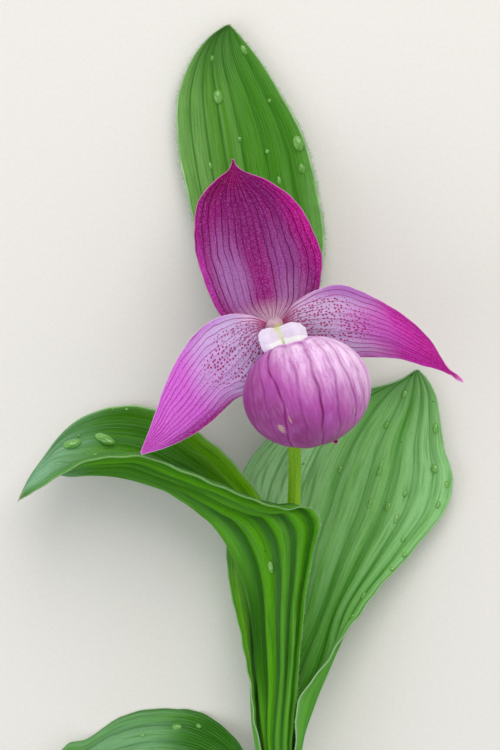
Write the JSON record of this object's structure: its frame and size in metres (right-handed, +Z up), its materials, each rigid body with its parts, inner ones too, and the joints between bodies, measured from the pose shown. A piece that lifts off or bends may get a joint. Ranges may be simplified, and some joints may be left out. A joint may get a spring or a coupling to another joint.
{
  "type": "cypripedium orchid",
  "caption": "Cut flowering shoot of a lady's-slipper orchid laid on its back, with pleated clasping leaves, a leafy bract and a pouched magenta flower.",
  "frame": {"origin": "on the surface that the shoot lies on, under the middle of its box", "axes": "+Y along the shoot from the cut end to the flower, +Z up off the surface and out of the flower's face, +X to the right"},
  "size_m": [0.125, 0.2428, 0.07],
  "materials": {
    "stem_green": "downy green stalk",
    "bract_green": "thin ribbed leaf with a hairy edge",
    "leaf_green": "pleated waxy leaf",
    "sepal_magenta": "veined silky petal",
    "petal_spotted": "veined silky petal with crimson spots",
    "pouch_pink": "inflated petal with sunk veins",
    "column_cream": "fleshy pale pink",
    "staminode_white": "waxy white with a green groove"
  },
  "bodies": {
    "root": {"stem": "stem_green", "ovary": "stem_green", "floral_bract": "bract_green", "dorsal_sepal": "sepal_magenta", "synsepal": "sepal_magenta", "petal_left": "petal_spotted", "petal_right": "petal_spotted", "lip_pouch": "pouch_pink", "column": "column_cream", "staminode": "staminode_white", "leaf_upper": "leaf_green", "leaf_middle": "leaf_green", "leaf_lower": "leaf_green"}
  },
  "joints": []
}
